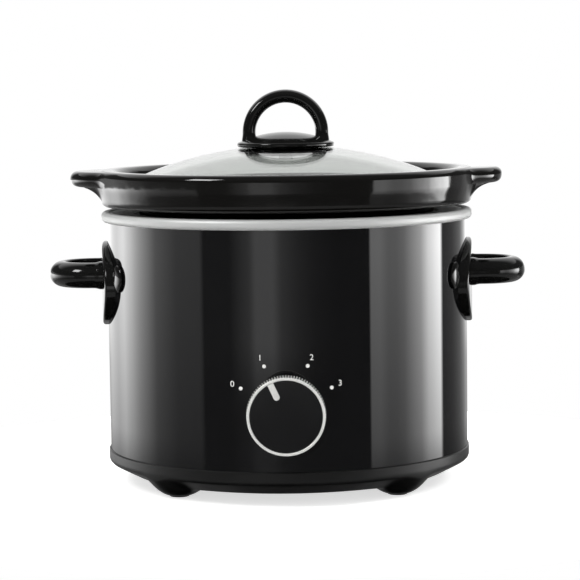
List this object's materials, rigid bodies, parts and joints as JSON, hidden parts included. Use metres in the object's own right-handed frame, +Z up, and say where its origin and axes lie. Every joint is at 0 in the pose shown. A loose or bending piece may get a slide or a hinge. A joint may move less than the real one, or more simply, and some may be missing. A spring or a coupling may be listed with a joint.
{
  "type": "slow cooker",
  "caption": "Small round slow cooker: black steel wrap on a footed base, lift-out glazed crock, domed glass lid with an arch handle, loop side handles and a rotary knob.",
  "frame": {"origin": "on the axis of the round shell, on the plane that the foot pads stand on", "axes": "+Z up, knob and dial face -Y, side handles along X, cord gland leaves along +Y"},
  "size_m": [0.2656, 0.229, 0.2173],
  "materials": {
    "black_paint": "gloss",
    "pan_metal": "satin",
    "zinc_steel": "zinc plated",
    "base_plastic": "satin moulded",
    "foot_rubber": "matte",
    "heater_sheath": "foil over mica",
    "fuse_case": "bright",
    "lead_sleeve": "glass-braid sleeve",
    "switch_plastic": "moulded",
    "brass": "plain",
    "knob_plastic": "gloss",
    "bright_trim": "satin silver",
    "handle_plastic": "gloss phenolic",
    "gland_plastic": "moulded nylon",
    "crock_glaze": "gloss glazed stoneware",
    "lid_glass": "clear tempered",
    "gasket_rubber": "silicone"
  },
  "bodies": {
    "cooker": {"outer_shell": "black_paint", "heating_pan": "pan_metal", "pan_stud": "zinc_steel", "base": "base_plastic", "foot_pads": "foot_rubber", "base_washer": "zinc_steel", "base_nut": "zinc_steel", "heater_band": "heater_sheath", "clamp_screw": "zinc_steel", "clamp_nut": "zinc_steel", "thermal_fuse": "fuse_case", "fuse_clip": "pan_metal", "band_leads": "lead_sleeve", "fuse_leads": "lead_sleeve", "switch_body": "switch_plastic", "switch_spacer": "switch_plastic", "switch_nut": "zinc_steel", "switch_terminals": "brass", "right_handle": "handle_plastic", "left_handle": "handle_plastic", "handle_screws": "zinc_steel", "cord_gland": "gland_plastic", "gland_nut": "gland_plastic"},
    "knob": {"knob": "knob_plastic", "knob_ring": "bright_trim", "knob_pointer": "bright_trim", "switch_shaft": "switch_plastic"},
    "crock": {"crock": "crock_glaze"},
    "lid": {"lid_glass": "lid_glass", "lid_gasket": "gasket_rubber", "lid_handle": "handle_plastic", "lid_insert": "brass", "lid_washer": "zinc_steel", "lid_screw": "zinc_steel"}
  },
  "joints": [
    {"name": "knob_turn", "type": "hinge", "parent": "cooker", "child": "knob", "pos_m": [0, -0.108, 0.0505], "axis": [0, 1, 0], "range_deg": [-37, 87]},
    {"name": "crock_lift", "type": "slide", "parent": "cooker", "child": "crock", "axis": [0, 0, 1], "range_m": [0, 0.13]},
    {"name": "lid_lift", "type": "slide", "parent": "crock", "child": "lid", "axis": [0, 0, 1], "range_m": [0, 0.1]}
  ]
}
